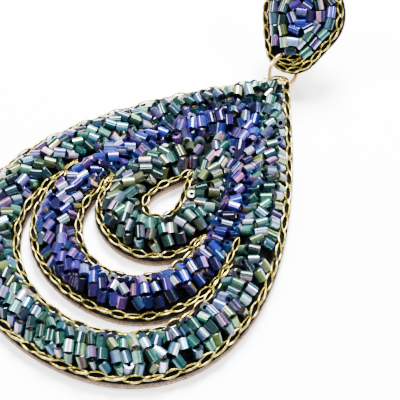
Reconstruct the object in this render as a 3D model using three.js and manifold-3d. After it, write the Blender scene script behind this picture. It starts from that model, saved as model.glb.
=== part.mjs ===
import * as THREE from 'three';
import { mergeVertices } from 'three/addons/utils/BufferGeometryUtils.js';
import { ParametricGeometry } from 'three/addons/geometries/ParametricGeometry.js';
import Module from 'manifold-3d';

const wasm = await Module();
wasm.setup();

// All sizes in millimetres. The drop lies flat with its tip towards +Y; +Z is up.

// Drop: edge line of the teardrop, from its lowest point to its tip.
const dropOutlineTear = { bottom: -38, top: 37.3, width: 55.3, taper: 1.1 };

// Boundary between the outer and the middle bead band.
const outerBoundary = { bottom: -27.9, top: 30.4, width: 37.6, taper: 1.28 };
const outerGapHalf = 2.4;
const outerGapTip = 3.0;

// Boundary between the middle and the inner bead band.
const innerBoundary = { bottom: -15.35, top: 19.0, width: 21.7, taper: 0.78 };
const innerGapHalf = 3.05;
const innerGapTip = 1.0;

// A gap's tips are looked for past this length of its line; its chain starts at this half width.
const gapTipFrom = 4;
const gapChainFrom = 0.25;

// Teardrop opening in the middle of the drop.
const centreOpening = { bottom: -4.2, top: 9.3, width: 6.4, taper: 1.7 };

// Layers.
const backingThickness = 1.0;
const feltThickness = 1.0;
const backingInset = 0.12;
const feltMargin = 0.88;

// Bead bands.
const bandHeight = 3.2;
const bandInset = 0.92;
const openingBandInset = 1.1;
const bandSeam = 0.12;
const bandCrown = 0.35;
const bandStations = 38;
const bandArcs = 5;

// Edge chain.
const chainPitch = 3.3;
const chainWidth = 1.6;
const chainWire = 0.4;
const chainOverlap = 0.42;
const chainRoll = 28;
const chainSides = 5;
const chainSteps = 7;
const gapChainRadius = 0.55;
const gapChainStep = 4;
const smallChainStep = 1.6;

// Jump ring between the drop and the stud.
const ringRadius = 3.5;
const ringWire = 0.9;
const ringClearance = 0.3;
const chainRingClearance = 0.2;
const ringFloorGap = 0.1;
const ringX = -0.75;
const ringPastTip = 0.6;
const ringTilt = 38;
const ringTurn = 9;
const ringLean = 58;
const ringFacets = 24;
const ringSides = 8;

// Stud: a round pad with a short tab towards the ring.
const studRadius = 8.15;
const studTabReach = 11.8;
const studTabRadius = 5.6;
const studHoleInset = 3.75;
const studTilt = 40;
const studTurn = 14;
const studBeadRadius = 6.4;
const studBeadTabReach = 8.7;
const studBeadTabRadius = 3.6;
const studBeadHeight = 3.2;
const studFeltThickness = 1.3;
const studBackingThickness = 0.9;

// Ear post behind the stud.
const postPadRadius = 3.6;
const postPadThickness = 0.5;
const postRadius = 0.45;
const postTipClearance = 0.0;

const deg = Math.PI / 180;

const colours = {
  suede: 0xb59a82,
  felt: 0x17181c,
  teal: 0x4e8a88,
  cobalt: 0x3540a0,
  gold: 0xc9b06a,
  brightGold: 0xe6cf95,
};

function toManifold(geometry) {
  const plain = geometry.clone();
  plain.deleteAttribute('normal');
  plain.deleteAttribute('uv');
  const merged = mergeVertices(plain, 1e-4);
  const source = merged.index.array;
  const triangles = [];
  for (let i = 0; i < source.length; i += 3) {
    const [a, b, c] = [source[i], source[i + 1], source[i + 2]];
    if (a !== b && b !== c && c !== a) {
      triangles.push(a, b, c);
    }
  }
  const mesh = new wasm.Mesh({
    numProp: 3,
    vertProperties: new Float32Array(merged.attributes.position.array),
    triVerts: new Uint32Array(triangles),
  });
  return new wasm.Manifold(mesh);
}

function toGeometry(solid) {
  const mesh = solid.getMesh();
  const geometry = new THREE.BufferGeometry();
  const positions = new Float32Array(mesh.vertProperties);
  geometry.setAttribute('position', new THREE.BufferAttribute(positions, 3));
  geometry.setIndex(new THREE.BufferAttribute(new Uint32Array(mesh.triVerts), 1));
  return geometry;
}

function tearCurve({ bottom, top, width, taper }) {
  const reach = (top - bottom) / 2;
  const middle = (top + bottom) / 2;
  let widest = 0;
  for (let i = 0; i <= 400; i += 1) {
    const t = (Math.PI * i) / 400;
    widest = Math.max(widest, Math.sin(t) * Math.sin(t / 2) ** taper);
  }
  const scale = width / 2 / widest;
  return (t) => {
    const x = scale * Math.sin(t) * Math.abs(Math.sin(t / 2)) ** taper;
    return new THREE.Vector2(x, middle + reach * Math.cos(t));
  };
}

// Samples the right half of a teardrop evenly along its length, tip first.
function halfLine(curve, count) {
  const fine = [];
  for (let i = 0; i <= 900; i += 1) {
    fine.push(curve((Math.PI * i) / 900));
  }
  const lengths = [0];
  for (let i = 1; i < fine.length; i += 1) {
    lengths.push(lengths[i - 1] + fine[i].distanceTo(fine[i - 1]));
  }
  const total = lengths[lengths.length - 1];
  const samples = [];
  let j = 0;
  for (let i = 0; i <= count; i += 1) {
    const goal = (total * i) / count;
    while (j < fine.length - 2 && lengths[j + 1] < goal) {
      j += 1;
    }
    const mix = (goal - lengths[j]) / (lengths[j + 1] - lengths[j]);
    const point = fine[j].clone().lerp(fine[j + 1], mix);
    const along = fine[j + 1].clone().sub(fine[j]).normalize();
    samples.push({ point, normal: new THREE.Vector2(-along.y, along.x), length: goal });
  }
  samples[count].normal.set(0, -1);
  return { samples, total };
}

function offsetPoint(sample, distance) {
  const point = sample.point.clone().addScaledVector(sample.normal, distance);
  point.x = Math.max(point.x, 0);
  return point;
}

// Offsets a half line; what would cross the middle plane is gathered where it meets it.
function offsetLine(half, distances) {
  const raw = half.samples.map((sample, i) => {
    return sample.point.clone().addScaledVector(sample.normal, distances[i]);
  });
  const last = raw.length - 1;
  const first = raw.findIndex((p) => p.x > 1e-3);
  const before = raw[Math.max(first - 1, 0)];
  const after = raw[first];
  const mix = first > 0 ? -before.x / (after.x - before.x) : 0;
  const apex = before.clone().lerp(after, mix);
  return raw.map((p, i) => {
    if (i < first) {
      return new THREE.Vector2(0, apex.y);
    }
    return i === last ? new THREE.Vector2(0, p.y) : p;
  });
}

function mirrored(half) {
  const left = half
    .slice(1, -1)
    .reverse()
    .map((p) => new THREE.Vector2(-p.x, p.y));
  return [...half, ...left];
}

const outerTear = tearCurve(dropOutlineTear);
const boundaryTear = tearCurve(outerBoundary);
const innerTear = tearCurve(innerBoundary);
const openingTear = tearCurve(centreOpening);

// Half width of a crescent gap at each sample: nothing above its tips, full at the bottom.
function gapProfile(half, tipY, widest) {
  const start = half.samples.find((s) => s.length > gapTipFrom && s.point.y <= tipY).length;
  return half.samples.map((sample) => {
    const s = (sample.length - start) / (half.total - start);
    if (s <= 0) {
      return { share: 0, half: 0 };
    }
    const rise = 0.35 * (1 - Math.cos(Math.PI * s)) + 0.3 * Math.sin((Math.PI * s) / 2);
    return { share: s, half: widest * rise };
  });
}

function edgeOffset({ share, half }) {
  const ramp = THREE.MathUtils.smoothstep(share, 0, 0.1);
  return bandSeam + (half + bandInset - bandSeam) * ramp;
}

const outerHalf = halfLine(outerTear, bandStations);
const boundaryHalf = halfLine(boundaryTear, bandStations);
const innerHalf = halfLine(innerTear, bandStations);
const openingHalf = halfLine(openingTear, bandStations);
const outerGap = gapProfile(boundaryHalf, outerGapTip, outerGapHalf);
const innerGap = gapProfile(innerHalf, innerGapTip, innerGapHalf);

// Outline of a felt layer: the outer tear grown by the margin, with a rounded tip.
function dropOutline(margin, count) {
  const { samples } = halfLine(outerTear, count);
  const body = samples.slice(1).map((s) => offsetPoint(s, margin));
  const slope = Math.atan2(samples[1].normal.y, samples[1].normal.x);
  const tip = [];
  for (let i = 0; i < 4; i += 1) {
    const angle = Math.PI / 2 + ((slope - Math.PI / 2) * i) / 4;
    const rise = dropOutlineTear.top + margin * Math.sin(angle);
    tip.push(new THREE.Vector2(margin * Math.cos(angle), rise));
  }
  return mirrored([...tip, ...body]);
}

function crescentOutline(half, gap, margin) {
  const inner = [];
  const outer = [];
  half.samples.forEach((sample, i) => {
    const width = gap[i].half - margin;
    if (width > 0.04) {
      outer.push(offsetPoint(sample, width));
      inner.push(offsetPoint(sample, -width));
    }
  });
  const flip = (list) => list.map((p) => new THREE.Vector2(-p.x, p.y));
  const outerLoop = [...outer, ...flip(outer.slice(0, -1)).reverse()];
  const innerLoop = [...flip(inner.slice(0, -1)), ...[...inner].reverse()];
  return [...outerLoop, ...innerLoop];
}

function openingOutline(margin, count) {
  const { samples } = halfLine(openingTear, count);
  const right = samples
    .map((s) => s.point.clone().addScaledVector(s.normal, -margin))
    .filter((p) => p.x > 0.02);
  const bottom = new THREE.Vector2(0, centreOpening.bottom + margin);
  const left = [...right].reverse().map((p) => new THREE.Vector2(-p.x, p.y));
  return [...right, bottom, ...left];
}

function layer(outline, holes, thickness) {
  const turned = THREE.ShapeUtils.isClockWise(outline) ? [...outline].reverse() : outline;
  const shape = new THREE.Shape(turned);
  holes.forEach((hole) => shape.holes.push(new THREE.Path(hole)));
  return new THREE.ExtrudeGeometry(shape, { depth: thickness, bevelEnabled: false });
}

function dropLayer(inset, thickness) {
  const margin = feltMargin - inset;
  const holes = [
    crescentOutline(boundaryHalf, outerGap, margin),
    crescentOutline(innerHalf, innerGap, margin),
    openingOutline(margin, 18),
  ];
  return layer(dropOutline(margin, 40), holes, thickness);
}

// A domed ring between two boundaries: flat below, rounded above.
function beadBand(outerEdge, innerEdge, height) {
  const outer = mirrored(outerEdge);
  const inner = mirrored(innerEdge);
  const count = outer.length;
  const around = (u, v, target) => {
    const i = Math.round(u * count) % count;
    const k = Math.round(v * (bandArcs + 1)) % (bandArcs + 1);
    const angle = (Math.PI * k) / bandArcs;
    const across = (1 - Math.cos(angle)) / 2;
    const crown = Math.sin(angle) ** (1 - bandCrown);
    const lift = k === 0 || k === bandArcs ? 0 : height * crown;
    const point = outer[i].clone().lerp(inner[i], across);
    target.set(point.x, point.y, lift);
  };
  return new ParametricGeometry(around, count, bandArcs + 1);
}

function outwards(geometry) {
  const solid = toManifold(geometry);
  if (solid.volume() > 0) {
    return solid;
  }
  const index = geometry.index.array;
  for (let i = 0; i < index.length; i += 3) {
    [index[i], index[i + 1]] = [index[i + 1], index[i]];
  }
  return toManifold(geometry);
}

// One oval wire link lying along +X, rolled about its length.
function linkGeometry(roll) {
  const reach = (chainPitch + chainOverlap) / 2;
  const side = (chainWidth - chainWire) / 2;
  const points = [];
  for (let i = 0; i < chainSteps; i += 1) {
    const angle = (2 * Math.PI * i) / chainSteps;
    points.push(new THREE.Vector3(reach * Math.cos(angle), side * Math.sin(angle), 0));
  }
  const curve = new THREE.CatmullRomCurve3(points, true);
  const link = new THREE.TubeGeometry(curve, chainSteps, chainWire / 2, chainSides, true);
  link.rotateX(roll * deg);
  return link;
}

// Walks a line of 2-D points at an even pitch and gives each link's place.
function linkPlaces(points, closed) {
  const line = points.map((p) => new THREE.Vector3(p.x, p.y, 0));
  const path = new THREE.CurvePath();
  for (let i = 0; i < line.length - 1; i += 1) {
    path.add(new THREE.LineCurve3(line[i], line[i + 1]));
  }
  if (closed) {
    path.add(new THREE.LineCurve3(line[line.length - 1], line[0]));
  }
  const length = path.getLength();
  const count = 2 * Math.round(length / chainPitch / 2);
  const places = [];
  for (let i = 0; i < count; i += 1) {
    const u = (i + 0.5) / count;
    const reach = chainPitch / 2 / length;
    const ahead = path.getPointAt((u + reach) % 1);
    const behind = path.getPointAt((u - reach + 1) % 1);
    const centre = ahead.clone().add(behind).multiplyScalar(0.5);
    const span = ahead.distanceTo(behind) / chainPitch;
    places.push({ centre, angle: Math.atan2(ahead.y - behind.y, ahead.x - behind.x), span });
  }
  return places;
}

function chainSolid(places, lift, keepOut) {
  const links = [];
  places.forEach((place, i) => {
    const link = linkGeometry(i % 2 ? chainRoll : -chainRoll);
    link.scale(Math.max(place.span, 0.8), 1, 1);
    link.rotateZ(place.angle);
    link.translate(place.centre.x, place.centre.y, lift);
    const solid = outwards(link);
    if (solid.intersect(keepOut).volume() < 1e-6) {
      links.push(solid);
    }
  });
  return wasm.Manifold.union(links);
}

function cordAlong(points, lift, step) {
  const curve = new THREE.CatmullRomCurve3(points.map((p) => new THREE.Vector3(p.x, p.y, lift)));
  const section = [];
  for (let i = 0; i < 8; i += 1) {
    const angle = (Math.PI * (2 * i + 1)) / 8;
    section.push(
      new THREE.Vector2(gapChainRadius * Math.cos(angle), gapChainRadius * Math.sin(angle)),
    );
  }
  const steps = Math.max(8, Math.round(curve.getLength() / step));
  const options = { steps, bevelEnabled: false, extrudePath: curve };
  return outwards(new THREE.ExtrudeGeometry(new THREE.Shape(section), options));
}

// Two lines of chain, one on each side of a crescent gap, that meet at its tips.
function gapChain(half, gap, lift) {
  const first = gap.findIndex((g) => g.half > gapChainFrom);
  const sides = [1, -1].map((side) => {
    const right = half.samples
      .slice(first)
      .map((sample, i) => offsetPoint(sample, side * gap[first + i].half));
    const left = right.slice(0, -1).map((p) => new THREE.Vector2(-p.x, p.y));
    return cordAlong([...right, ...left.reverse()], lift, gapChainStep);
  });
  return wasm.Manifold.union(sides);
}

// The chain round the middle opening: both sides of its teardrop, joined at the tip.
function openingChain(lift) {
  const right = halfLine(openingTear, 14).samples.map((sample) => sample.point);
  const left = right.slice(0, -1).map((p) => new THREE.Vector2(-p.x, p.y));
  return cordAlong([...right, ...left.reverse()], lift, smallChainStep);
}

// Turns a direction from a level plane to one that leans, tilts towards -Y and turns about +Z.
function placed(x, y, z, lean, tilt, turn) {
  return new THREE.Vector3(x, y, z)
    .applyAxisAngle(new THREE.Vector3(0, 1, 0), lean * deg)
    .applyAxisAngle(new THREE.Vector3(1, 0, 0), tilt * deg)
    .applyAxisAngle(new THREE.Vector3(0, 0, 1), turn * deg);
}

// Ring frame: the ring stands on its edge, just off the surface, and leans to the left.
const ringNormal = placed(0, 0, 1, ringLean, ringTilt, ringTurn);
const ringUp = placed(0, 1, 0, ringLean, ringTilt, ringTurn);
const ringDrop = ringRadius * Math.sqrt(1 - ringNormal.z ** 2);
const ringCentre = new THREE.Vector3(
  ringX,
  dropOutlineTear.top + ringPastTip,
  ringWire / 2 + ringFloorGap + ringDrop,
);

function ringGeometry(wireRadius) {
  const ring = new THREE.TorusGeometry(ringRadius, wireRadius, ringSides, ringFacets);
  const turn = new THREE.Quaternion().setFromUnitVectors(new THREE.Vector3(0, 0, 1), ringNormal);
  ring.applyQuaternion(turn);
  ring.translate(ringCentre.x, ringCentre.y, ringCentre.z);
  return ring;
}

const ringRoom = toManifold(ringGeometry(ringWire / 2 + ringClearance));
const chainRoom = toManifold(ringGeometry(ringWire / 2 + chainRingClearance));

// Stud frame: the ring passes through the hole in its tab.
const studNormal = placed(0, 0, 1, 0, studTilt, studTurn);
const studUp = placed(0, 1, 0, 0, studTilt, studTurn);
const studSide = new THREE.Vector3().crossVectors(studUp, studNormal);
const studThickness = studFeltThickness + studBackingThickness;
const studCentre = ringCentre
  .clone()
  .addScaledVector(ringUp, ringRadius)
  .addScaledVector(studUp, studTabReach - studHoleInset);
const studBase = studCentre.clone().addScaledVector(studNormal, -studThickness / 2);
const studFrame = new THREE.Matrix4()
  .makeBasis(studSide, studUp, studNormal)
  .setPosition(studBase);

function studOutline(radius, tabRadius, tabReach, count) {
  const tabCentre = tabReach - tabRadius;
  const meet = Math.acos((radius - tabRadius) / tabCentre);
  const points = [];
  const sweep = 2 * Math.PI - 2 * meet;
  for (let i = 0; i <= count; i += 1) {
    const angle = -Math.PI / 2 + meet + (sweep * i) / count;
    points.push(new THREE.Vector2(radius * Math.cos(angle), radius * Math.sin(angle)));
  }
  for (let i = 0; i <= 8; i += 1) {
    const angle = -Math.PI / 2 - meet + (2 * meet * i) / 8;
    points.push(
      new THREE.Vector2(tabRadius * Math.cos(angle), -tabCentre + tabRadius * Math.sin(angle)),
    );
  }
  return points;
}

function studLayer(inset, thickness, lift) {
  const outline = studOutline(
    studRadius - inset,
    studTabRadius - inset,
    studTabReach - inset,
    36,
  );
  const geometry = layer(outline, [], thickness);
  geometry.translate(0, 0, lift);
  geometry.applyMatrix4(studFrame);
  return toManifold(geometry);
}

// The stud's bead field: flat below, domed above, its rim a smaller copy of the pad's outline.
function studDome() {
  const rim = studOutline(studBeadRadius, studBeadTabRadius, studBeadTabReach, 36);
  const arcs = 6;
  const surface = (u, v, target) => {
    const i = Math.round(u * rim.length) % rim.length;
    const k = Math.round(v * (arcs + 1));
    const angle = (Math.PI / 2) * ((k - 1) / arcs);
    const share = k === 0 || k === arcs + 1 ? 0 : Math.cos(angle);
    const lift = k < 2 ? 0 : studBeadHeight * Math.sin(angle) ** (1 - bandCrown);
    target.set(rim[i].x * share, rim[i].y * share, studThickness + lift);
  };
  const dome = new ParametricGeometry(surface, rim.length, arcs + 1);
  dome.applyMatrix4(studFrame);
  return outwards(dome);
}

// The chain round the stud's pad; it makes way for the ring.
function studChain() {
  const line = studOutline(
    studRadius - feltMargin,
    studTabRadius - feltMargin,
    studTabReach - feltMargin,
    30,
  );
  const lift = studThickness + gapChainRadius;
  const points = line.map((p) => new THREE.Vector3(p.x, p.y, lift));
  const curve = new THREE.CatmullRomCurve3(points, true);
  const steps = Math.round(curve.getLength() / smallChainStep);
  const chain = new THREE.TubeGeometry(curve, steps, gapChainRadius, 8, true);
  chain.applyMatrix4(studFrame);
  return outwards(chain).subtract(ringRoom);
}

function earPost() {
  const foot = studBase.z / studNormal.z;
  const pinLength = foot - postRadius * Math.tan(studTilt * deg) - postTipClearance;
  const profile = [
    new THREE.Vector2(0, 0),
    new THREE.Vector2(postPadRadius, 0),
    new THREE.Vector2(postPadRadius, -postPadThickness),
    new THREE.Vector2(postRadius, -postPadThickness),
    new THREE.Vector2(postRadius, -pinLength),
    new THREE.Vector2(0, -pinLength),
  ];
  const post = new THREE.LatheGeometry(profile, 16);
  post.rotateX(Math.PI / 2);
  post.applyMatrix4(studFrame);
  return outwards(post);
}

const feltTop = backingThickness + feltThickness;
const chainRise =
  ((chainWidth - chainWire) / 2) * Math.sin(chainRoll * deg) + chainWire / 2;

const outerSeam = outerGap.map(edgeOffset);
const innerSeam = innerGap.map(edgeOffset);
const edgeInset = outerHalf.samples.map(() => bandInset);
const openingInset = openingHalf.samples.map(() => openingBandInset);
const outerBandOuter = offsetLine(outerHalf, edgeInset.map((d) => -d));
const outerBandInner = offsetLine(boundaryHalf, outerSeam);
const middleBandOuter = offsetLine(boundaryHalf, outerSeam.map((d) => -d));
const middleBandInner = offsetLine(innerHalf, innerSeam);
const innerBandOuter = offsetLine(innerHalf, innerSeam.map((d) => -d));
const innerBandInner = offsetLine(openingHalf, openingInset);

function bandSolid(outerEdge, innerEdge) {
  const geometry = beadBand(outerEdge, innerEdge, bandHeight);
  geometry.translate(0, 0, feltTop);
  return outwards(geometry).subtract(ringRoom);
}

function raisedLayer(inset, thickness, lift) {
  const geometry = dropLayer(inset, thickness);
  geometry.translate(0, 0, lift);
  return toManifold(geometry).subtract(ringRoom);
}

const edgeLine = mirrored(halfLine(outerTear, 90).samples.map((s) => s.point));

const pieces = [
  ['drop_backing', raisedLayer(backingInset, backingThickness, 0), 'suede', 0.95, 0],
  ['drop_felt', raisedLayer(0, feltThickness, backingThickness), 'felt', 0.95, 0],
  ['outer_beads', bandSolid(outerBandOuter, outerBandInner), 'teal', 0.25, 0.1],
  ['middle_beads', bandSolid(middleBandOuter, middleBandInner), 'cobalt', 0.25, 0.1],
  ['inner_beads', bandSolid(innerBandOuter, innerBandInner), 'teal', 0.25, 0.1],
  [
    'outer_edge_chain',
    chainSolid(linkPlaces(edgeLine, true), feltTop + chainRise, chainRoom),
    'gold',
    0.35,
    1,
  ],
  ['outer_gap_chain', gapChain(boundaryHalf, outerGap, feltTop + gapChainRadius), 'gold', 0.35, 1],
  ['inner_gap_chain', gapChain(innerHalf, innerGap, feltTop + gapChainRadius), 'gold', 0.35, 1],
  ['centre_opening_chain', openingChain(feltTop + gapChainRadius), 'gold', 0.35, 1],
  ['jump_ring', toManifold(ringGeometry(ringWire / 2)), 'brightGold', 0.25, 1],
  [
    'stud_backing',
    studLayer(backingInset, studBackingThickness, 0).subtract(ringRoom),
    'suede',
    0.95,
    0,
  ],
  [
    'stud_felt',
    studLayer(0, studFeltThickness, studBackingThickness).subtract(ringRoom),
    'felt',
    0.95,
    0,
  ],
  ['stud_beads', studDome().subtract(ringRoom), 'cobalt', 0.25, 0.1],
  ['stud_edge_chain', studChain(), 'gold', 0.35, 1],
  ['ear_post', earPost(), 'brightGold', 0.3, 1],
];

const geometries = pieces.map(([, solid]) => toGeometry(solid));

// Put the origin under the middle of the whole piece, on the surface that it rests on.
const extent = new THREE.Box3();
geometries.forEach((geometry) => {
  geometry.computeBoundingBox();
  extent.union(geometry.boundingBox);
});
const middle = extent.getCenter(new THREE.Vector3());

const group = new THREE.Group();
group.name = 'chandelier_earring';
pieces.forEach(([name, , colour, roughness, metalness], i) => {
  const geometry = geometries[i];
  geometry.translate(-middle.x, -middle.y, -extent.min.z);
  geometry.computeVertexNormals();
  const material = new THREE.MeshStandardMaterial({
    color: colours[colour],
    roughness,
    metalness,
  });
  const mesh = new THREE.Mesh(geometry, material);
  mesh.name = name;
  group.add(mesh);
});

export default group;
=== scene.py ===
import math
import random

import bpy
import numpy as np
from mathutils import Matrix, Vector


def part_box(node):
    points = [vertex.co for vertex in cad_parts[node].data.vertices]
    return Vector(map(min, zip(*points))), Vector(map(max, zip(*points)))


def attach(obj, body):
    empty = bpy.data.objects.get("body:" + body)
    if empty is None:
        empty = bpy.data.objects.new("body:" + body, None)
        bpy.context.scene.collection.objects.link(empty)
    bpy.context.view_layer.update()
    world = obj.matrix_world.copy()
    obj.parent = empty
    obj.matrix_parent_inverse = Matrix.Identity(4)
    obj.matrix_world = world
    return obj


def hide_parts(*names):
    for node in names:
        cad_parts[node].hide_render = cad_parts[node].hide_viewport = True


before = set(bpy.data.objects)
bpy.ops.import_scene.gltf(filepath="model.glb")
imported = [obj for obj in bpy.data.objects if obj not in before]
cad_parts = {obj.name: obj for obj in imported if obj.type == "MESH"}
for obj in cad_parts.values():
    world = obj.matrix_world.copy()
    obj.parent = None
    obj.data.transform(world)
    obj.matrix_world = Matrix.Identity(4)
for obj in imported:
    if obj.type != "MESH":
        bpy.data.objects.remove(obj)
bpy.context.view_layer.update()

MM = 0.001

# Teardrop lines of the drop: lowest point, tip, width and taper, in millimetres.
EDGE_TEAR = (-38.0, 37.3, 55.3, 1.1)
OUTER_SEAM_TEAR = (-27.9, 30.4, 37.6, 1.28)
INNER_SEAM_TEAR = (-15.35, 19.0, 21.7, 0.78)
OPENING_TEAR = (-4.2, 9.3, 6.4, 1.7)
OUTER_GAP_HALF = 2.4
OUTER_GAP_TIP = 3.0
INNER_GAP_HALF = 3.05
INNER_GAP_TIP = 1.0

BACKING = 1.0
FELT = 1.0
FELT_TOP = BACKING + FELT
FELT_MARGIN = 0.88
HEM_TOP = 1.95
HEM_BOTTOM = 1.6
BAND_INSET = 0.92
OPENING_INSET = 1.1
BAND_SEAM = 0.12
BAND_HEIGHT = 3.2

BEAD_LENGTH = 2.1
BEAD_WIDTH = 1.92
BEAD_HOLE = 0.85
BEAD_SIDES = 12
BEAD_CLEARANCE = 1.42
BEAD_GAP = 0.12
BEAD_JITTER = 0.14
BEAD_SWAY = 15.0
BEAD_NOD = 10.0
FILL_TRIES = 450
ROW_PITCH = 1.95
ROW_SLANT = 30.0

LINK_PITCH = 3.3
LINK_LENGTH = 4.3
LINK_WIDTH = 1.6
LINK_WIRE = 0.4
LINK_ROLL = 30.0
LINK_YAW = 4.0
FINE_CHAIN = 0.84
CHAIN_OUT = 0.2
SEAM_CHAIN = 5.5
GAP_CHAIN_FROM = 0.3
GAP_TIP_FROM = 4.0

RING_RADIUS = 3.5
RING_WIRE = 0.9
RING_FLOOR_GAP = 0.1
RING_X = -0.75
RING_PAST_TIP = 0.6
RING_TILT = 38.0
RING_TURN = 9.0
RING_LEAN = 58.0
RING_BEAD_GAP = 1.0
RING_LINK_GAP = 0.75

STUD_RADIUS = 8.15
STUD_TAB_REACH = 11.8
STUD_TAB_RADIUS = 5.6
STUD_HOLE_INSET = 3.75
STUD_TAB_BARE = 3.9
STUD_TILT = 40.0
STUD_TURN = 14.0
STUD_BACKING = 0.9
STUD_THICKNESS = 2.2
STUD_BEAD_HEIGHT = 3.2

# Shortest and longest fibre.
FIBRE_REACH = (0.2, 0.5)
SUEDE_FIBRE_REACH = (0.15, 0.45)

# Where the drop's own middle lies in the row's frame.
felt_low, felt_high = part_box("drop_felt")
SHIFT = np.array([
    (felt_low[0] + felt_high[0]) / 2 / MM,
    felt_low[1] / MM - (EDGE_TEAR[0] - FELT_MARGIN),
    0.0,
])


def linear(code):
    """Linear colour of a six-figure colour code."""
    parts = [int(code[i:i + 2], 16) / 255 for i in (0, 2, 4)]
    return tuple(c / 12.92 if c <= 0.04045 else ((c + 0.055) / 1.055) ** 2.4 for c in parts)


# ---- Lines of the drop


def tear_points(tear, count=240):
    """Right half of a teardrop, tip first, evenly spaced: points, outward normals, lengths."""
    bottom, top, width, taper = tear
    t = np.linspace(0, math.pi, 2000)
    shape = np.sin(t) * np.abs(np.sin(t / 2)) ** taper
    x = shape / shape.max() * width / 2
    y = (top + bottom) / 2 + (top - bottom) / 2 * np.cos(t)
    steps = np.hypot(np.diff(x), np.diff(y))
    length = np.concatenate([[0], np.cumsum(steps)])
    goal = np.linspace(0, length[-1], count + 1)
    points = np.stack([np.interp(goal, length, x), np.interp(goal, length, y)], 1)
    along = np.gradient(points, axis=0)
    along /= np.linalg.norm(along, axis=1)[:, None]
    normals = np.stack([-along[:, 1], along[:, 0]], 1)
    normals[-1] = (0, -1)
    return points, normals, goal


def gap_profile(points, goal, tip, widest):
    """Half width of a crescent gap along a seam, and its share from tip to bottom."""
    start = goal[np.nonzero((goal > GAP_TIP_FROM) & (points[:, 1] <= tip))[0][0]]
    share = np.clip((goal - start) / (goal[-1] - start), 0, 1)
    rise = 0.35 * (1 - np.cos(math.pi * share)) + 0.3 * np.sin(math.pi * share / 2)
    return share, widest * rise


def seam_offset(share, half):
    """How far a bead band stays from its seam."""
    ramp = np.clip(share / 0.1, 0, 1)
    ramp = ramp * ramp * (3 - 2 * ramp)
    return BAND_SEAM + (half + BAND_INSET - BAND_SEAM) * ramp


def offset_half(points, normals, distance):
    """A half line moved along its normals, cut off at the middle plane."""
    moved = points + normals * np.asarray(distance).reshape(-1, 1)
    moved[-1, 0] = 0
    first = int(np.nonzero(moved[:, 0] > 1e-3)[0][0])
    if first > 0:
        before, after = moved[first - 1], moved[first]
        mix = -before[0] / (after[0] - before[0])
        moved[:first] = (0, before[1] + (after[1] - before[1]) * mix)
    return moved


def full_loop(half):
    """A half line and its mirror image, once round."""
    left = half[1:-1][::-1] * np.array([-1, 1])
    return np.concatenate([half, left])


def whole_loop(tear, distance):
    """A teardrop moved outwards by one distance, once round."""
    points, normals, _ = tear
    return full_loop(offset_half(points, normals, np.full(len(points), distance)))


edge = tear_points(EDGE_TEAR)
outer_seam = tear_points(OUTER_SEAM_TEAR)
inner_seam = tear_points(INNER_SEAM_TEAR)
opening = tear_points(OPENING_TEAR)
outer_gap = gap_profile(outer_seam[0], outer_seam[2], OUTER_GAP_TIP, OUTER_GAP_HALF)
inner_gap = gap_profile(inner_seam[0], inner_seam[2], INNER_GAP_TIP, INNER_GAP_HALF)
outer_off = seam_offset(*outer_gap)
inner_off = seam_offset(*inner_gap)

BANDS = {
    "outer": (
        whole_loop(edge, -BAND_INSET),
        full_loop(offset_half(outer_seam[0], outer_seam[1], outer_off)),
    ),
    "middle": (
        full_loop(offset_half(outer_seam[0], outer_seam[1], -outer_off)),
        full_loop(offset_half(inner_seam[0], inner_seam[1], inner_off)),
    ),
    "inner": (
        full_loop(offset_half(inner_seam[0], inner_seam[1], -inner_off)),
        whole_loop(opening, OPENING_INSET),
    ),
}


# ---- Stud and ring frames


def turned(lean, tilt, turn):
    """Side, up and normal of a plane that leans about +Y, tilts towards -Y, turns about +Z."""
    placed = (
        Matrix.Rotation(math.radians(turn), 3, "Z")
        @ Matrix.Rotation(math.radians(tilt), 3, "X")
        @ Matrix.Rotation(math.radians(lean), 3, "Y")
    )
    return [np.array(placed @ Vector(v)) for v in ((1, 0, 0), (0, 1, 0), (0, 0, 1))]


ring_side, ring_up, ring_normal = turned(RING_LEAN, RING_TILT, RING_TURN)
RING_CENTRE = np.array([
    RING_X,
    EDGE_TEAR[1] + RING_PAST_TIP,
    RING_WIRE / 2 + RING_FLOOR_GAP + RING_RADIUS * math.sqrt(1 - ring_normal[2] ** 2),
])
stud_side, stud_up, stud_normal = turned(0.0, STUD_TILT, STUD_TURN)
STUD_BASE = (
    RING_CENTRE
    + ring_up * RING_RADIUS
    + stud_up * (STUD_TAB_REACH - STUD_HOLE_INSET)
    - stud_normal * STUD_THICKNESS / 2
)


def on_stud(points):
    """Points given in the stud's own plane, placed in the drop's millimetres."""
    points = np.asarray(points, float).reshape(-1, 3)
    turned_points = (
        np.outer(points[:, 0], stud_side)
        + np.outer(points[:, 1], stud_up)
        + np.outer(points[:, 2], stud_normal)
    )
    return STUD_BASE + turned_points


def stud_outline(inset, count=160):
    """Outline of the stud's pad with its tab, anticlockwise from the tab's right side."""
    radius = STUD_RADIUS - inset
    tab = STUD_TAB_RADIUS - inset
    tab_centre = STUD_TAB_REACH - inset - tab
    meet = math.acos((radius - tab) / tab_centre)
    sweep = np.linspace(-math.pi / 2 + meet, 1.5 * math.pi - meet, 120)
    low = np.linspace(-math.pi / 2 - meet, -math.pi / 2 + meet, 40)
    body = np.stack([radius * np.cos(sweep), radius * np.sin(sweep)], 1)
    foot = np.stack([tab * np.cos(low), -tab_centre + tab * np.sin(low)], 1)
    loop = np.concatenate([body, foot[1:-1]])
    return resample(loop, count, True)


def resample(points, count, closed):
    """Evenly spaced points along a line."""
    line = np.concatenate([points, points[:1]]) if closed else np.asarray(points)
    steps = np.linalg.norm(np.diff(line, axis=0), axis=1)
    length = np.concatenate([[0], np.cumsum(steps)])
    goal = np.linspace(0, length[-1], count + 1)
    out = np.stack([np.interp(goal, length, line[:, k]) for k in range(line.shape[1])], 1)
    return out[:-1] if closed else out


# ---- Meshes


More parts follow.
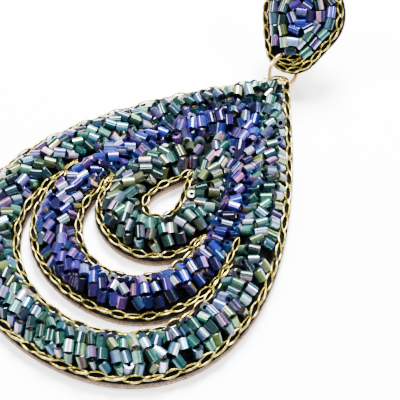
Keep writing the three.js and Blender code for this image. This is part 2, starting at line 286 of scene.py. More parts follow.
def mesh_object(name, vertices, faces, material, smooth=False):
    """A new piece from millimetre points in the drop's frame."""
    mesh = bpy.data.meshes.new(name)
    placed = (np.asarray(vertices, float) + SHIFT) * MM
    mesh.from_pydata(placed.tolist(), [], [list(map(int, f)) for f in faces])
    mesh.update()
    mesh.materials.append(material)
    piece = bpy.data.objects.new(name, mesh)
    bpy.context.scene.collection.objects.link(piece)
    if smooth:
        mesh.polygons.foreach_set("use_smooth", [True] * len(mesh.polygons))
    return piece


def bead_template():
    """One cut tube bead along X, a millimetre each way from its middle: points and faces."""
    bpy.ops.object.select_all(action="DESELECT")
    bpy.ops.mesh.primitive_cylinder_add(
        vertices=BEAD_SIDES, radius=BEAD_WIDTH / 2, depth=BEAD_LENGTH, end_fill_type="NGON"
    )
    tube = bpy.context.object
    bpy.ops.object.mode_set(mode="EDIT")
    bpy.ops.mesh.select_mode(type="FACE")
    bpy.ops.mesh.select_all(action="DESELECT")
    bpy.ops.object.mode_set(mode="OBJECT")
    for face in tube.data.polygons:
        face.select = abs(face.normal.z) > 0.9
    bpy.ops.object.mode_set(mode="EDIT")
    bpy.ops.mesh.inset(thickness=0.09, depth=0.07, use_individual=True)
    bpy.ops.mesh.inset(thickness=(BEAD_WIDTH - BEAD_HOLE) / 2 - 0.09, use_individual=True)
    bpy.ops.mesh.bridge_edge_loops()
    bpy.ops.object.mode_set(mode="OBJECT")
    points = np.array([v.co[:] for v in tube.data.vertices])
    points = points[:, [2, 0, 1]]
    faces = [list(f.vertices) for f in tube.data.polygons]
    mesh = tube.data
    bpy.data.objects.remove(tube)
    bpy.data.meshes.remove(mesh)
    return points, faces


def link_template(length, width, wire, segments=16, sides=6):
    """One oval wire link lying along X."""
    bpy.ops.object.select_all(action="DESELECT")
    bpy.ops.mesh.primitive_torus_add(
        major_segments=segments,
        minor_segments=sides,
        major_radius=(width - wire) / 2,
        minor_radius=wire / 2,
    )
    loop = bpy.context.object
    points = np.array([v.co[:] for v in loop.data.vertices])
    faces = [list(f.vertices) for f in loop.data.polygons]
    stretch = (length - width) / 2
    radius = np.hypot(points[:, 0], points[:, 1])
    share = points[:, 0] / radius
    points[:, 0] += stretch * np.sign(share) * np.abs(share) ** 1.1
    points[:, 1] *= 1.06 - 0.45 * np.abs(share) ** 2
    mesh = loop.data
    bpy.data.objects.remove(loop)
    bpy.data.meshes.remove(mesh)
    return points, faces


def joined(template, places):
    """Copies of a template at 3x3 turns and places, as one list of points and faces."""
    base, faces = template
    points = []
    out = []
    for turn, place in places:
        start = len(points) * len(base)
        points.append(base @ np.asarray(turn).T + np.asarray(place))
        out.extend([[i + start for i in face] for face in faces])
    return np.concatenate(points), out


def basis(axis, up):
    """Turn that takes X to the axis and Z near the up direction; columns are the axes."""
    x = axis / np.linalg.norm(axis)
    y = np.cross(up, x)
    y /= np.linalg.norm(y)
    z = np.cross(x, y)
    return np.stack([x, y, z], 1)


def spin(axis, degrees):
    """A turn about one axis, as a 3x3 array."""
    return np.array(Matrix.Rotation(math.radians(degrees), 3, Vector(axis)))


# ---- Materials


def new_material(name):
    """A node material, its tree and its shader."""
    material = bpy.data.materials.new(name)
    material.use_nodes = True
    tree = material.node_tree
    return material, tree, tree.nodes["Principled BSDF"]


def mottle_group():
    """Two colours mixed by a fine noise, and a normal raised by the same noise."""
    group = bpy.data.node_groups.new("mottle", "ShaderNodeTree")
    sockets = [("Scale", 1000), ("Detail", 3), ("Strength", 0.2), ("Distance", 0.0001)]
    for name, value in sockets:
        socket = group.interface.new_socket(name, in_out="INPUT", socket_type="NodeSocketFloat")
        socket.default_value = value
    for name in ("Dark", "Light"):
        group.interface.new_socket(name, in_out="INPUT", socket_type="NodeSocketColor")
    group.interface.new_socket("Color", in_out="OUTPUT", socket_type="NodeSocketColor")
    group.interface.new_socket("Normal", in_out="OUTPUT", socket_type="NodeSocketVector")
    given = group.nodes.new("NodeGroupInput")
    result = group.nodes.new("NodeGroupOutput")
    coordinates = group.nodes.new("ShaderNodeTexCoord")
    noise = group.nodes.new("ShaderNodeTexNoise")
    spread = group.nodes.new("ShaderNodeMapRange")
    spread.inputs["From Min"].default_value = 0.34
    spread.inputs["From Max"].default_value = 0.66
    mix = group.nodes.new("ShaderNodeMix")
    mix.data_type = "RGBA"
    relief = group.nodes.new("ShaderNodeBump")
    link = group.links.new
    link(coordinates.outputs["Object"], noise.inputs["Vector"])
    link(given.outputs["Scale"], noise.inputs["Scale"])
    link(given.outputs["Detail"], noise.inputs["Detail"])
    link(noise.outputs["Fac"], spread.inputs["Value"])
    link(spread.outputs["Result"], mix.inputs["Factor"])
    link(given.outputs["Dark"], mix.inputs[6])
    link(given.outputs["Light"], mix.inputs[7])
    link(mix.outputs[2], result.inputs["Color"])
    link(given.outputs["Strength"], relief.inputs["Strength"])
    link(given.outputs["Distance"], relief.inputs["Distance"])
    link(noise.outputs["Fac"], relief.inputs["Height"])
    link(relief.outputs["Normal"], result.inputs["Normal"])
    return group


MOTTLE = mottle_group()


def mottle(tree, dark, light, scale, detail, strength, distance):
    """The mottle group in a material, with its own colours, scale and relief."""
    node = tree.nodes.new("ShaderNodeGroup")
    node.node_tree = MOTTLE
    node.inputs["Dark"].default_value = (*dark, 1)
    node.inputs["Light"].default_value = (*light, 1)
    node.inputs["Scale"].default_value = scale
    node.inputs["Detail"].default_value = detail
    node.inputs["Strength"].default_value = strength
    node.inputs["Distance"].default_value = distance
    return node


def glass_bead_material(name, metallic, roughness):
    """Coated cut glass: colour per facet, with painted highlights, painted reflections and painted
    shade, and a faint cloud in it.
    """
    material, tree, shader = new_material(name)
    glaze_and_painted_light = tree.nodes.new("ShaderNodeAttribute")
    glaze_and_painted_light.attribute_name = "glaze_and_painted_light"
    cloud = mottle(tree, (0.65, 0.65, 0.65), (1, 1, 1), 1400, 2, 0.1, 0.00003)
    mix = tree.nodes.new("ShaderNodeMix")
    mix.data_type = "RGBA"
    mix.blend_type = "MULTIPLY"
    mix.inputs["Factor"].default_value = 1.0
    tree.links.new(glaze_and_painted_light.outputs["Color"], mix.inputs[6])
    tree.links.new(cloud.outputs["Color"], mix.inputs[7])
    tree.links.new(mix.outputs[2], shader.inputs["Base Color"])
    shader.inputs["Metallic"].default_value = metallic
    shader.inputs["Roughness"].default_value = roughness
    shader.inputs["Specular IOR Level"].default_value = 0.35
    shader.inputs["Coat Weight"].default_value = 0.22
    shader.inputs["Coat Roughness"].default_value = 0.08
    return material


def gold_material(name, light, dark, roughness):
    """Plated wire, mottled at random between a light and a dark gold; the dark gold is a painted shade.
    """
    material, tree, shader = new_material(name)
    tone = mottle(tree, linear(dark), linear(light), 900, 3, 0.15, 0.00005)
    tree.links.new(tone.outputs["Color"], shader.inputs["Base Color"])
    tree.links.new(tone.outputs["Normal"], shader.inputs["Normal"])
    shader.inputs["Metallic"].default_value = 0.85
    shader.inputs["Roughness"].default_value = roughness
    return material


def cloth_material(name, light, dark, scale, hem=None):
    """Napped cloth; hem is the colour that its wall takes towards the floor."""
    material, tree, shader = new_material(name)
    nap = mottle(tree, linear(dark), linear(light), scale, 6, 0.6, 0.0003)
    colour = nap.outputs["Color"]
    if hem:
        place = tree.nodes.new("ShaderNodeTexCoord")
        split = tree.nodes.new("ShaderNodeSeparateXYZ")
        share = tree.nodes.new("ShaderNodeMapRange")
        share.inputs["From Min"].default_value = HEM_TOP * MM
        share.inputs["From Max"].default_value = HEM_BOTTOM * MM
        mix = tree.nodes.new("ShaderNodeMix")
        mix.data_type = "RGBA"
        mix.inputs[7].default_value = (*linear(hem), 1)
        tree.links.new(place.outputs["Object"], split.inputs["Vector"])
        tree.links.new(split.outputs["Z"], share.inputs["Value"])
        tree.links.new(share.outputs["Result"], mix.inputs["Factor"])
        tree.links.new(colour, mix.inputs[6])
        colour = mix.outputs[2]
    tree.links.new(colour, shader.inputs["Base Color"])
    tree.links.new(nap.outputs["Normal"], shader.inputs["Normal"])
    shader.inputs["Roughness"].default_value = 0.95
    shader.inputs["Specular IOR Level"].default_value = 0.04
    return material


BEAD_GLASS = glass_bead_material("bead_glass", 0.6, 0.2)
CHAIN_GOLD = gold_material("chain_gold", "b0a040", "241e06", 0.24)
RING_GOLD = gold_material("ring_gold", "dcb878", "a98a4c", 0.25)
FELT_BLACK = cloth_material("felt_black", "060607", "010102", 2500, hem="57483c")
SUEDE_TAN = cloth_material("suede_tan", "a8917f", "6f5b4b", 1800)
PADDING = cloth_material("padding", "040506", "010101", 2500)


# ---- Beads

TEAL_GLAZE = [
    ("12504c", 5), ("1f665c", 5), ("37786e", 5), ("5a9688", 4), ("2b4c66", 3), ("4a7898", 3),
    ("6d95ad", 2), ("86b3b0", 2), ("7c8660", 3), ("7a6ba0", 2), ("8ea05c", 3), ("0e3a46", 4),
]
PALE_GLAZE = [
    ("125c54", 5), ("1f7464", 5), ("2f8a7a", 5), ("62b09c", 4), ("3a78a4", 5), ("5592c4", 4),
    ("7fb0cc", 3), ("7c9a58", 3), ("6a5cb4", 4), ("a070b0", 2), ("8ea84c", 2), ("0e3a46", 5),
]
COBALT_GLAZE = [
    ("0d1666", 5), ("1a249c", 6), ("2539c0", 5), ("3c5ad8", 5), ("44309e", 6), ("6442c0", 6),
    ("2c1a88", 5), ("1f6ab4", 3), ("9a62c8", 3), ("29267e", 4), ("6c86d8", 3),
]
THREAD_COLOUR = np.array(linear("b89f74"))
THREAD_SHARE = 0.25

# How strongly a bead's own colour, its painted highlight and the painted shade on its lit side show;
# drawn per bead.
GLAZE_DEPTHS = [0.1, 0.2, 0.4]
PAINTED_HIGHLIGHT_STRENGTHS = [0.12, 0.4, 0.8]
PAINTED_SHADE_FACTORS = [0.4, 1.0, 1.0]

# How far a facet must face the lit side to take the painted highlight, a coloured painted reflection,
# or a painted half-shade.
PAINTED_HIGHLIGHT_FACING = 0.95
PAINTED_REFLECTION_FACING = 0.8
PAINTED_HALF_SHADE_FACING = 0.5
# Colours of the painted highlights and of the coloured painted reflections beside them.
PAINTED_HIGHLIGHT_COLOURS = [
    ("c9bdf2", 3), ("ee9fd0", 3), ("a8dcf0", 3), ("eddc98", 2), ("f4f4f8", 2), ("a9e8c4", 2),
]


def pick(rng, palette):
    """A linear colour drawn from a table of codes and weights."""
    codes = [code for code, _ in palette]
    weights = [weight for _, weight in palette]
    return np.array(linear(rng.choices(codes, weights)[0]))


def bead_piece(name, places, palettes, seed):
    """Joins beads into one piece and gives each facet its colour: glass colour, painted highlight,
    painted reflection or painted shade.
    """
    rng = random.Random(seed)
    template = bead_template()
    points, faces = joined(template, places)
    piece = mesh_object(name, points, faces, BEAD_GLASS)
    mesh = piece.data
    lengthways = template[0][:, 0]
    round_faces = [bool(np.ptp(lengthways[face]) > 0.5) for face in template[1]]
    mesh.polygons.foreach_set("use_smooth", round_faces * len(places))
    ends = np.empty(len(mesh.edges) * 2, int)
    mesh.edges.foreach_get("vertices", ends)
    ends = lengthways[ends.reshape(-1, 2) % len(lengthways)]
    mesh.edges.foreach_set("use_edge_sharp", (np.abs(ends[:, 0] - ends[:, 1]) < 0.3).tolist())
    per_bead = len(template[1])
    sides = np.array([template[0][face].mean(0) for face in template[1]])
    radius = np.hypot(sides[:, 1], sides[:, 2])
    angle = np.arctan2(sides[:, 2], sides[:, 1])
    is_side = (np.abs(sides[:, 0]) < 0.3) & (radius > BEAD_HOLE / 2 + 0.1)
    is_hole = radius < BEAD_HOLE / 2 + 0.02
    colours = np.empty((len(places) * per_bead, 4))
    for i, palette in enumerate(palettes):
        body = pick(rng, palette)
        second = pick(rng, palette)
        painted_highlight = pick(rng, PAINTED_HIGHLIGHT_COLOURS)
        reflection_tint = pick(rng, PAINTED_HIGHLIGHT_COLOURS)
        far_reflection_tint = pick(rng, PAINTED_HIGHLIGHT_COLOURS)
        # The lit side of the bead, where its highlight is painted; its two glass colours also turn with
        # it.
        facet = rng.uniform(-math.pi, math.pi)
        depth = rng.choice(GLAZE_DEPTHS) * rng.uniform(0.6, 1.2)
        highlight_strength = rng.choice(PAINTED_HIGHLIGHT_STRENGTHS) * rng.uniform(0.7, 1.1)
        shade = rng.choice(PAINTED_SHADE_FACTORS)
        thread = rng.random() < THREAD_SHARE
        for k in range(per_bead):
            mix = 0.5 + 0.5 * math.cos(2 * (angle[k] - facet))
            colour = (body * (1 - mix) + second * mix) * depth
            facing = math.cos(angle[k] - facet)
            # Painted highlight on the facet that faces the lit side.
            if is_side[k] and facing > PAINTED_HIGHLIGHT_FACING:
                colour = painted_highlight * highlight_strength
            # Coloured painted reflections on the facets beside the painted highlight, over the glass
            # colour dimmed by the painted shade.
            elif is_side[k] and facing > PAINTED_REFLECTION_FACING:
                side = math.sin(angle[k] - facet) > 0
                reflection_strip = reflection_tint * 0.5 if side else far_reflection_tint * 0.22
                colour = body * 0.6 * shade + reflection_strip * highlight_strength
            # A painted half-shade, the glass colour at four tenths, on the next facets round the lit
            # side.
            elif is_side[k] and facing > PAINTED_HALF_SHADE_FACING:
                colour = body * 0.4 * shade
            # Hole walls: the thread's own colour where a thread shows, else painted shade at a tenth of
            # the glass colour.
            if is_hole[k]:
                colour = THREAD_COLOUR if thread else colour * 0.1
            # Ends and bevels painted darker, a painted shade that tones down their reflected glare.
            elif not is_side[k]:
                colour = colour * 0.4
            colours[i * per_bead + k, :3] = np.clip(colour, 0, 1)
    colours[:, 3] = 1
    counts = np.array([len(face) for face in template[1]] * len(places))
    corners = np.repeat(colours, counts, axis=0)
    glaze_and_painted_light = mesh.color_attributes.new("glaze_and_painted_light", "FLOAT_COLOR", "CORNER")
    glaze_and_painted_light.data.foreach_set("color", corners.ravel())
    return piece


def band_places(outer, inner, seed, taken):
    """Rows of beads strung over the crown of a band, leaning like a rope."""
    rng = random.Random(seed)
    centre = (outer + inner) / 2
    closed = np.concatenate([centre, centre[:1]])
    length = np.concatenate([[0], np.cumsum(np.linalg.norm(np.diff(closed, axis=0), axis=1))])
    total = length[-1]
    count = int(round(total / ROW_PITCH))
    index = np.arange(len(closed))

    def edge_at(line, distance):
        place = np.interp(distance % total, length, index)
        low = int(place) % len(line)
        high = (low + 1) % len(line)
        return line[low] * (1 - place % 1) + line[high] * (place % 1)

    def arch_at(middle):
        width = np.linalg.norm(edge_at(outer, middle) - edge_at(inner, middle))
        slant = math.tan(math.radians(ROW_SLANT + rng.uniform(-7, 7))) * width / 2
        across = max(width / 2 - 0.35, 0.6)
        crown = BAND_HEIGHT - BEAD_WIDTH / 2
        line = []
        for phi in np.linspace(0, math.pi, 40):
            a = -math.cos(phi) * across / (width / 2)
            at = middle + slant * a
            mix = (1 + a) / 2
            point = edge_at(outer, at) * (1 - mix) + edge_at(inner, at) * mix
            lift = 0.25 + crown * math.sin(phi) ** 0.8
            line.append((point[0], point[1], FELT_TOP + lift))
        line = np.array(line)
        arch = np.concatenate([[0], np.cumsum(np.linalg.norm(np.diff(line, axis=0), axis=1))])
        return line, arch

    def sew(line, arch, goal, middle):
        place = np.array([np.interp(goal, arch, line[:, c]) for c in range(3)])
        ahead = np.array([np.interp(goal + 0.5, arch, line[:, c]) for c in range(3)])
        behind = np.array([np.interp(goal - 0.5, arch, line[:, c]) for c in range(3)])
        outward = np.array([*(edge_at(outer, middle) - edge_at(inner, middle)), 0.0])
        outward /= np.linalg.norm(outward)
        low = 1 - (place[2] - FELT_TOP) / BAND_HEIGHT
        up = np.array([0, 0, 1.0]) + outward * (0.9 if goal < arch[-1] / 2 else -0.9) * low
        place = place + np.array([rng.uniform(-BEAD_JITTER, BEAD_JITTER) for _ in range(3)])
        if too_near_ring(place) or crowded(place, taken):
            return
        turn = basis(ahead - behind, up)
        turn = turn @ spin((0, 0, 1), rng.gauss(0, BEAD_SWAY)) @ spin((0, 1, 0), rng.gauss(0, BEAD_NOD))
        turn = turn @ spin((1, 0, 0), rng.uniform(0, 360))
        size = rng.uniform(0.93, 1.04)
        turn = turn @ np.diag([rng.uniform(0.88, 1.06), size, size])
        reach = max(abs(turn[2, 0]) * BEAD_LENGTH * 0.45, 0)
        lowest = place[2] - reach - math.sqrt(max(0, 1 - turn[2, 0] ** 2)) * size * 0.85
        place[2] += max(FELT_TOP + 0.02 - lowest, 0)
        place[2] = min(place[2], FELT_TOP + BAND_HEIGHT - 0.8 + rng.uniform(-0.05, 0.08))
        places.append((turn, place))
        taken.append(place)

    places = []
    step = BEAD_LENGTH + BEAD_GAP
    for row in range(count):
        middle = (row + 0.5) * total / count + rng.uniform(-0.15, 0.15)
        line, arch = arch_at(middle)
        number = max(2, int(round((arch[-1] - 0.3) / step)))
        start = (arch[-1] - number * step) / 2 + rng.uniform(-0.25, 0.25)
        for k in range(number):
            goal = min(max(start + (k + 0.5) * step, 0.9), arch[-1] - 0.9)
            sew(line, arch, goal, middle)
    for _ in range(FILL_TRIES):
        middle = rng.uniform(0, total)
        line, arch = arch_at(middle)
        sew(line, arch, rng.uniform(0.9, arch[-1] - 0.9), middle)
    return places


def crowded(place, taken):
    """Whether a bead's middle is too near one that is already sewn on."""
    if not taken:
        return False
    return np.linalg.norm(np.array(taken) - place, axis=1).min() < BEAD_CLEARANCE


def ring_distance(place):
    """How far a point lies from the jump ring's surface."""
    away = np.asarray(place) - RING_CENTRE
    height = away @ ring_normal
    flat = math.sqrt(max(away @ away - height * height, 0))
    return math.hypot(flat - RING_RADIUS, height) - RING_WIRE / 2


def too_near_ring(place):
    """Whether a bead's middle would foul the jump ring."""
    return ring_distance(place) < RING_BEAD_GAP


def band_padding(name, outer, inner):
    """Dark stuffing under the beads of a band."""
    arcs = 8
    points = []
    count = len(outer)
    for i in range(count):
        width = max(np.linalg.norm(outer[i] - inner[i]), 0.01)
        keep = max(0.0, 1 - 1.5 / width)
        for k in range(arcs + 1):
            phi = math.pi * k / arcs
            a = -math.cos(phi) * keep
            point = outer[i] * (1 - a) / 2 + inner[i] * (1 + a) / 2
            lift = 0.03 + (BAND_HEIGHT - 1.75) * math.sin(phi) ** 0.8
            points.append((point[0], point[1], FELT_TOP + lift))
    faces = []
    ring = arcs + 1
    for i in range(count):
        j = (i + 1) % count
        for k in range(ring):
            m = (k + 1) % ring
            faces.append((i * ring + k, i * ring + m, j * ring + m, j * ring + k))
    return mesh_object(name, points, faces, PADDING, smooth=True)


# ---- Chains


def chain_places(line, closed, seed, lift=FELT_TOP, keep=None, scale=1.0):
    """Places of links along a line of 2-D points, each starting inside the last."""
    rng = random.Random(seed)
    fine = resample(line, 600, closed)
    total = np.linalg.norm(np.diff(fine, axis=0), axis=1).sum()
    count = int(round(total / (LINK_PITCH * scale)))
    if closed:
        count += count % 2
    pitch = total / count
    fine = resample(line, 1200, closed)
    if closed:
        fine = np.concatenate([fine, fine[:1]])
    length = np.concatenate([[0], np.cumsum(np.linalg.norm(np.diff(fine, axis=0), axis=1))])
    total = length[-1]
    rise = (LINK_WIDTH - LINK_WIRE) / 2 * math.sin(math.radians(LINK_ROLL)) + LINK_WIRE / 2
    places = []

    def at(distance):
        d = distance % total if closed else min(max(distance, 0), total)
        return np.array([np.interp(d, length, fine[:, 0]), np.interp(d, length, fine[:, 1])])

    for i in range(count):
        middle = (i + 0.5) * pitch
        ahead = at(middle + pitch / 2)
        behind = at(middle - pitch / 2)
        centre = (ahead + behind) / 2 * 0.7 + at(middle) * 0.3
        axis = np.array([*(ahead - behind), 0.0])
        turn = basis(axis, np.array([0, 0, 1.0]))
        turn = turn @ spin((0, 0, 1), LINK_YAW + rng.gauss(0, 3)) @ spin((0, 1, 0), 4)
        turn = turn @ spin((1, 0, 0), (LINK_ROLL if i % 2 else -LINK_ROLL) + rng.gauss(0, 5))
        stretch = np.linalg.norm(axis) / LINK_PITCH * rng.uniform(0.98, 1.03)
        turn = turn @ np.diag([stretch, (1 + scale) / 2, (1 + scale) / 2])
        place = np.array([*centre, lift + rise + 0.03])
        if keep is None or keep(place):
            places.append((turn, place))
    return places


def clear_of_ring(place):
    """Whether a link's middle stays clear of the jump ring."""
    return ring_distance(place) > RING_LINK_GAP


def crescent_lines(points, normals, gap):
    """The two edges of a crescent gap, from its left tip round to its right tip."""
    half = gap[1]
    first = int(np.nonzero(half > GAP_CHAIN_FROM)[0][0])
    lines = []
    for sign in (1, -1):
        right = (points + normals * (sign * half)[:, None])[first:]
        right[-1, 0] = 0
        left = right[:-1] * np.array([-1, 1])
        lines.append(np.concatenate([left, right[::-1]]))
    return lines


def seam_tail(seam, gap):
    """The stretch of a seam that a chain covers past the right tip of its gap."""
    points, _, goal = seam
    first = int(np.nonzero(gap[1] > GAP_CHAIN_FROM)[0][0])
    return points[(goal > goal[first] - SEAM_CHAIN) & (goal <= goal[first])]


def knot_places(middle, seed, count=3, lift=FELT_TOP):
    """A few crowded links where a chain ends."""
    rng = random.Random(seed)
    places = []
    for _ in range(count):
        turn = spin((0, 0, 1), rng.uniform(0, 360)) @ spin((1, 0, 0), rng.uniform(-50, 50))
        turn = turn @ np.diag([0.42, 0.7, 0.75])
        jitter = np.array([rng.uniform(-0.4, 0.4), rng.uniform(-0.4, 0.4), rng.uniform(0.5, 0.9)])
        places.append((turn, np.array([middle[0], middle[1], lift]) + jitter))
    return places


def chain_piece(name, places):
    """Joins links into one piece of chain."""
    template = link_template(LINK_LENGTH, LINK_WIDTH, LINK_WIRE)
    points, faces = joined(template, places)
    return mesh_object(name, points, faces, CHAIN_GOLD, smooth=True)


# ---- Fibres along cloth edges


def fibre_piece(name, lines, low, high, material, density, seed, reach=FIBRE_REACH, place=None):
    """Short bent hairs that stand out of an edge; each line is (points, outward side)."""
    rng = random.Random(seed)
    points = []
    faces = []
    for line, side in lines:
        count = int(len(line) * density)
        for _ in range(count):
            i = rng.randrange(len(line))
            j = (i + 1) % len(line)
            along = line[j] - line[i]
            size = np.linalg.norm(along)
            if size < 1e-6 or size > 3:
                continue
            along = along / size
            outward = np.array([along[1], -along[0]]) * side
            flat_root = line[i] + along * rng.uniform(0, size) - outward * 0.1
            root = np.array([*flat_root, rng.uniform(low, high)])
            lean = rng.uniform(-1.1, 1.1)
            flat_way = outward * math.cos(lean) + along * math.sin(lean)
            way = np.array([*flat_way, rng.uniform(-0.5, 0.6)])
            long = rng.uniform(*reach)
            bend = np.array([rng.gauss(0, 0.3), rng.gauss(0, 0.3), rng.gauss(0, 0.25)]) * long
            tip = root + way * long + bend
            mid = root + way * long * 0.55
            tip[2] = max(tip[2], 0.05)
            mid[2] = max(mid[2], 0.05)
            thick = rng.uniform(0.022, 0.036)
            across = np.cross(way, (0, 0, 1.0))
            across /= np.linalg.norm(across)
            upward = np.cross(across, way)
            upward /= np.linalg.norm(upward)
            base = len(points)
            for centre, scale in ((root, 1.0), (mid, 0.8)):
                for k in range(3):
                    angle = 2 * math.pi * k / 3
                    offset = (across * math.cos(angle) + upward * math.sin(angle)) * thick * scale
                    points.append(centre + offset)
            points.append(tip)
            for k in range(3):
                m = (k + 1) % 3
                faces.append((base + k, base + m, base + 3 + m, base + 3 + k))
                faces.append((base + 3 + k, base + 3 + m, base + 6))
            faces.append((base + 2, base + 1, base))
    placed = place(points) if place else points
    return mesh_object(name, placed, faces, material)


# ---- Build the drop


def build_drop():
    """Beads, padding and chains of the drop; gives back the gaps' lines."""
    tail = seam_tail(outer_seam, outer_gap)
    taken = [np.array([*point, FELT_TOP + 1.5]) for point in tail]
    palettes = {"outer": PALE_GLAZE, "middle": COBALT_GLAZE, "inner": TEAL_GLAZE}
    for number, (name, (outer, inner)) in enumerate(BANDS.items()):
        places = band_places(outer, inner, 11 + number, taken)
        beads = bead_piece(name + "_bead_rows", places, [palettes[name]] * len(places), 31 + number)
        padding = band_padding(name + "_padding", outer, inner)
        for piece in (beads, padding):
            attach(piece, "root")
        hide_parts(name + "_beads")
    outer_lines = crescent_lines(outer_seam[0], outer_seam[1], outer_gap)
    inner_lines = crescent_lines(inner_seam[0], inner_seam[1], inner_gap)
    edge_line = whole_loop(edge, CHAIN_OUT)
    chains = {
        "outer_edge_chain": (
            chain_places(edge_line, True, 51, keep=clear_of_ring)
            + knot_places((0.5, 35.4), 61, 5, FELT_TOP + 1.2)
            + knot_places((-1.8, 34.2), 62, 3, FELT_TOP + 0.6)
        ),
        "outer_gap_chain": (
            chain_places(shifted(outer_lines[0], CHAIN_OUT), False, 52, scale=FINE_CHAIN)
            + chain_places(shifted(outer_lines[1], -CHAIN_OUT), False, 53, scale=FINE_CHAIN)
            + chain_places(tail, False, 63, lift=FELT_TOP + 1.3, scale=0.65)
            + knot_places(outer_lines[0][0], 54)
            + knot_places(outer_lines[0][-1], 55)
        ),
        "inner_gap_chain": (
            chain_places(shifted(inner_lines[0], CHAIN_OUT), False, 56, scale=FINE_CHAIN)
            + chain_places(shifted(inner_lines[1], -CHAIN_OUT), False, 57, scale=FINE_CHAIN)
            + knot_places(inner_lines[0][0], 58)
            + knot_places(inner_lines[0][-1], 59)
        ),
        "centre_opening_chain": chain_places(
            whole_loop(opening, -CHAIN_OUT), True, 60, scale=FINE_CHAIN
        ),
    }
    for node, places in chains.items():
        piece = chain_piece(node + "_links", places)
        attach(piece, "root")
        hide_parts(node)
    return outer_lines, inner_lines


def build_fibres(outer_lines, inner_lines):
    """Felt and suede hairs along the drop's outer edge and its crescent gaps."""
    edge_out = whole_loop(edge, FELT_MARGIN)
    lines = [(edge_out, -1)]
    for (first, second) in (outer_lines, inner_lines):
        lines.append((shifted(first, FELT_MARGIN), -1))
        lines.append((shifted(second, -FELT_MARGIN), 1))
    dark = fibre_piece("felt_fibres", lines, BACKING, FELT_TOP, FELT_BLACK, 8.0, 71)
    tan = fibre_piece(
        "suede_fibres", lines, 0.3, HEM_TOP - 0.3, SUEDE_TAN, 9.0, 72, reach=SUEDE_FIBRE_REACH
    )
    for piece, slot in ((dark, "felt"), (tan, "suede")):
        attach(piece, "root")


def shifted(line, distance):
    """A line moved to the left of its own way, which is towards the drop's middle."""
    along = np.gradient(line, axis=0)
    along /= np.linalg.norm(along, axis=1)[:, None] + 1e-9
    side = np.stack([along[:, 1], -along[:, 0]], 1)
    return line - side * distance


# ---- Build the stud


def stud_bead_rings(rng):
    """Rings of beads from the pad's rim inwards: turn and place in the stud's plane, kind."""
    rings = [(2.5, 0.95, "mixed"), (4.4, 1.75, "pale"), (6.25, 2.1, "cobalt")]
    found = []
    for inset, lift, kind in rings:
        if STUD_TAB_RADIUS > inset + 0.5:
            line = stud_outline(inset, 400)
        else:
            around = np.linspace(0, 2 * math.pi, 401)[:-1]
            radius = STUD_RADIUS - inset
            line = np.stack([radius * np.cos(around), radius * np.sin(around)], 1)
        length = np.linalg.norm(line - np.roll(line, 1, axis=0), axis=1).sum()
        count = int(length / (BEAD_LENGTH + 0.12))
        for i in range(count):
            k = int((i + rng.uniform(-0.1, 0.1)) * 400 / count) % 400
            along = line[(k + 4) % 400] - line[k - 4]
            outward = np.array([along[1], -along[0], 0]) / np.linalg.norm(along)
            up = np.array([0, 0, 1.0]) + outward * (0.9 if kind == "mixed" else 0.5)
            found.append((np.array([*along, 0.0]), up, np.array([*line[k], lift]), kind))
    edge_line = stud_outline(0.0)
    for _ in range(500):
        spot = np.array([rng.uniform(-4, 4), rng.uniform(-7, 4)])
        if np.linalg.norm(edge_line - spot, axis=1).min() > 5.4:
            way = np.array([1.0, rng.gauss(0.2, 0.25), 0.0])
            found.append((way, np.array([0, 0, 1.0]), np.array([*spot, 2.15]), "cobalt"))
    for x in (-1.3, 0.0, 1.3):
        place = np.array([x, 5.0 - STUD_TAB_REACH, 1.6])
        found.append((np.array([0.3, 1.0, 0.0]), np.array([0, 0, 1.0]), place, "mixed"))
    return found


def build_stud():
    """Beads, padding, chain and fibres of the stud, in its tilted plane."""
    rng = random.Random(81)
    places = []
    palettes = []
    taken = []
    frame_turn = np.stack([stud_side, stud_up, stud_normal], 1)
    for along, up, local, kind in stud_bead_rings(rng):
        turn = basis(along, up) @ spin((0, 0, 1), rng.gauss(0, 10))
        turn = turn @ spin((0, 1, 0), rng.gauss(0, 7)) @ spin((1, 0, 0), rng.uniform(0, 360))
        size = rng.uniform(0.94, 1.05)
        turn = turn @ np.diag([rng.uniform(0.88, 1.04), size, size])
        local = local + np.array([0, 0, STUD_THICKNESS + rng.uniform(-0.05, 0.1)])
        place = on_stud(local)[0]
        on_tab = local[1] < STUD_TAB_BARE - STUD_TAB_REACH
        if on_tab or too_near_ring(place) or crowded(place, taken):
            continue
        places.append((frame_turn @ turn, place))
        taken.append(place)
        choice = rng.choices(["pale", "cobalt"], [3, 4])[0] if kind == "mixed" else kind
        palettes.append(PALE_GLAZE if choice == "pale" else COBALT_GLAZE)
    beads = bead_piece("stud_bead_rings", places, palettes, 82)
    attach(beads, "root")
    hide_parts("stud_beads")
    padding = stud_padding()
    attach(padding, "root")
    rim_line = stud_outline(FELT_MARGIN - CHAIN_OUT)
    flat_places = chain_places(rim_line, True, 83, lift=STUD_THICKNESS, scale=FINE_CHAIN)
    for seed, inset in ((85, 2.0), (86, 3.0)):
        tab = stud_outline(inset, 400)
        low = tab[tab[:, 1] < 4.2 - STUD_TAB_REACH]
        low = low[np.argsort(low[:, 0])]
        flat_places += chain_places(low, False, seed, lift=STUD_THICKNESS + 0.25, scale=FINE_CHAIN)
    links = []
    for turn, place in flat_places:
        placed = on_stud(place)[0]
        if clear_of_ring(placed):
            links.append((frame_turn @ turn, placed))
    chain = chain_piece("stud_edge_chain_links", links)
    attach(chain, "root")
    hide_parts("stud_edge_chain")
    fibres = fibre_piece(
        "stud_fibres", [(stud_outline(0.0), 1)], STUD_BACKING, STUD_THICKNESS, FELT_BLACK, 6.0, 84,
        place=on_stud,
    )
    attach(fibres, "root")


